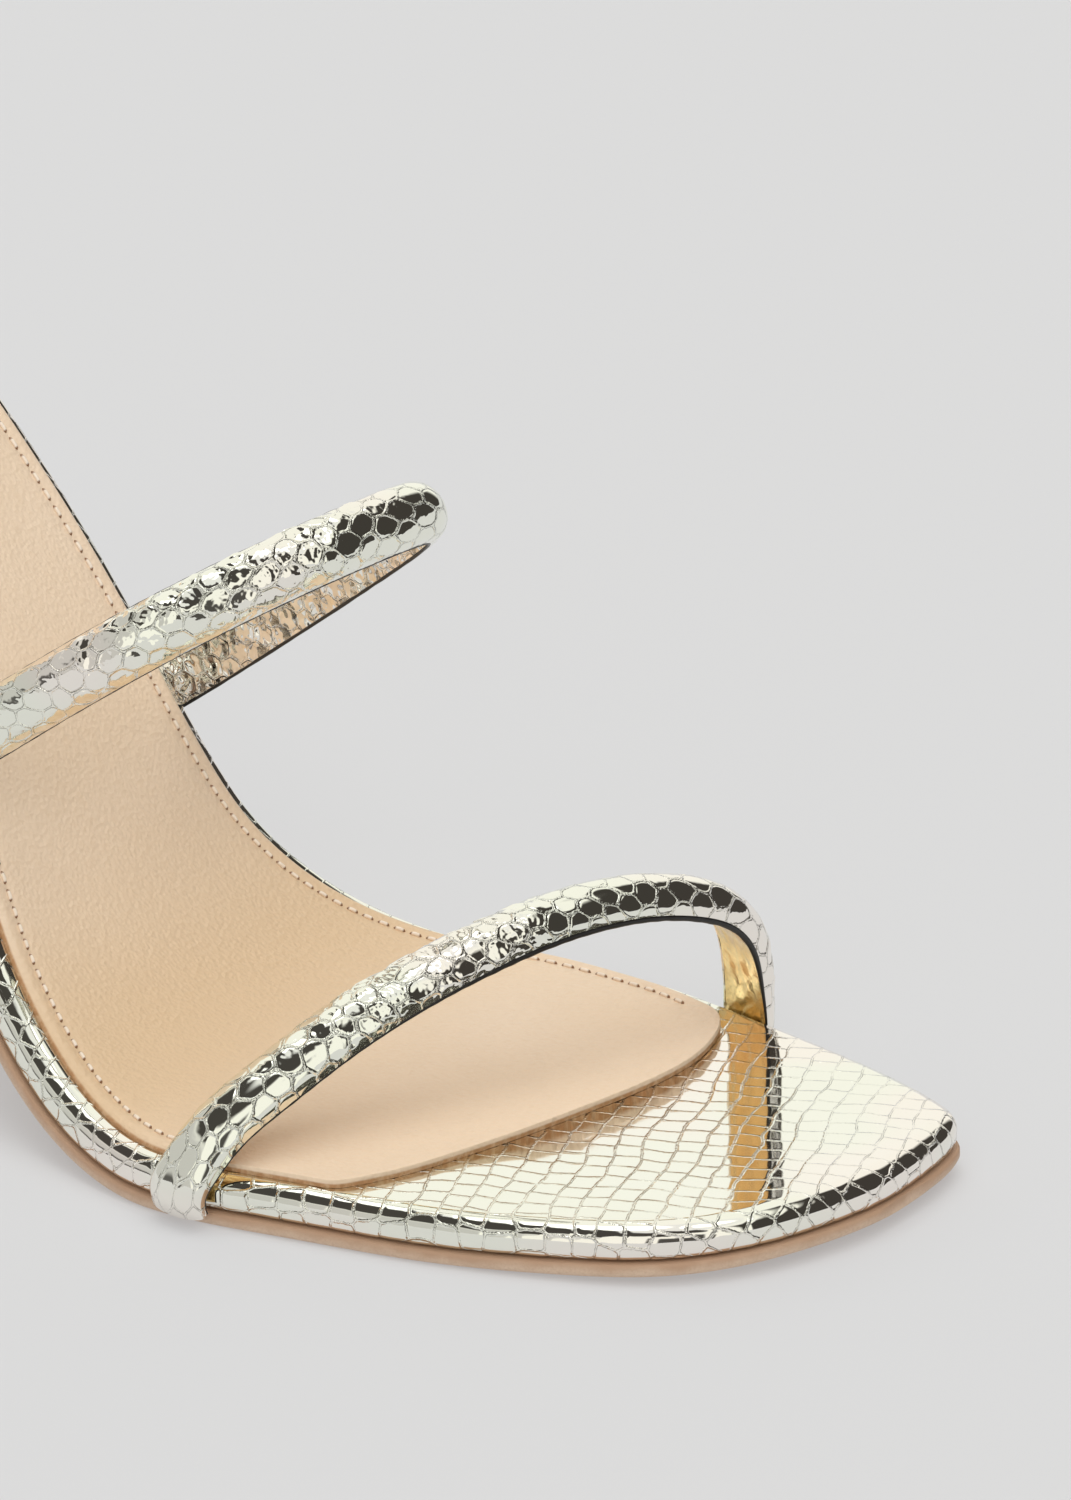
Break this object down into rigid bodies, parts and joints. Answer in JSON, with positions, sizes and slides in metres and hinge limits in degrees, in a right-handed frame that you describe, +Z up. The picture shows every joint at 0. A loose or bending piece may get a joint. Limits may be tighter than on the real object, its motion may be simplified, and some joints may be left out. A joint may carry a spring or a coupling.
{
  "type": "strappy heeled sandal",
  "caption": "Open sandal with a padded strap over the toes, another over the instep, a slim high heel and a bent leather-covered sole.",
  "frame": {"origin": "on the floor under the middle of the sandal's outline, with the shoe standing on its tread and heel", "axes": "+X towards the toe, +Y towards the inner (medial) side of this right shoe, +Z up"},
  "size_m": [0.2104, 0.0864, 0.1064],
  "materials": {
    "outsole_leather": "matte tan leather with a raw rounded edge",
    "metallic_leather": "mirror-bright pale gold foil on leather embossed with snake scales",
    "strap_leather": "mirror-bright pale gold foil on padded leather embossed with snake scales",
    "heel_cover_leather": "mirror-bright pale gold foil on leather embossed with snake scales",
    "insole_leather": "soft nude lining leather with a fine grain and stitched edges",
    "top_piece_rubber": "dense dark rubber"
  },
  "bodies": {
    "root": {"outsole": "outsole_leather", "wrapped_footbed": "metallic_leather", "insole": "insole_leather", "toe_strap": "strap_leather", "instep_strap": "strap_leather", "heel": "heel_cover_leather", "heel_top_piece": "top_piece_rubber"}
  },
  "joints": []
}
